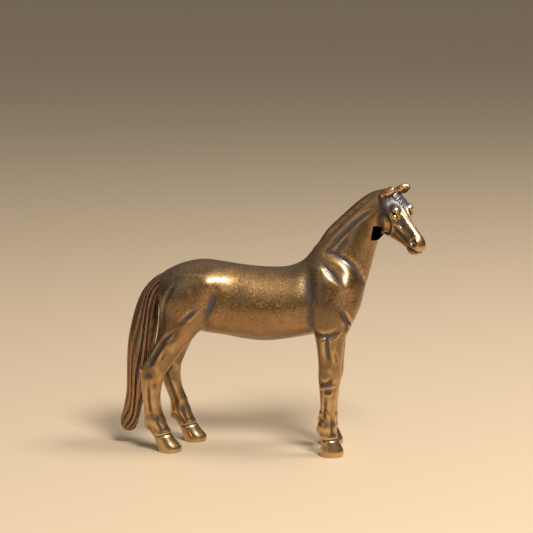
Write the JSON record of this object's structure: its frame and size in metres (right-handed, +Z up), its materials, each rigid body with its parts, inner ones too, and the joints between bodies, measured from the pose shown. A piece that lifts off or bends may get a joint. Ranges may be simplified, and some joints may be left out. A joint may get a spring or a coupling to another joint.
{
  "type": "horse statuette",
  "caption": "Small solid cast horse standing on four hooves, head turned to its right, ears pricked and a full tail swept back; a decorative figurine.",
  "frame": {"origin": "on the resting surface, under the middle of the horse's bounding box", "axes": "+X towards the horse's head, +Y towards its left side, +Z up"},
  "size_m": [0.0557, 0.013, 0.0492],
  "materials": {
    "antique_brass": "cast, darkened patina in the hollows, rubbed bright on the high points",
    "polished_brass": "rubbed bright",
    "brass_rod": "drawn rod, hidden inside the castings"
  },
  "bodies": {
    "root": {"torso": "antique_brass", "neck": "antique_brass", "mane": "antique_brass", "head": "antique_brass", "left_ear": "antique_brass", "right_ear": "antique_brass", "left_eye": "polished_brass", "right_eye": "polished_brass", "forelock": "antique_brass", "left_foreleg": "antique_brass", "right_foreleg": "antique_brass", "left_hind_leg": "antique_brass", "right_hind_leg": "antique_brass", "tail": "antique_brass", "neck_dowel": "brass_rod", "head_dowel": "brass_rod", "tail_dowel": "brass_rod", "foreleg_dowels": "brass_rod", "hind_leg_dowels": "brass_rod"}
  },
  "joints": []
}
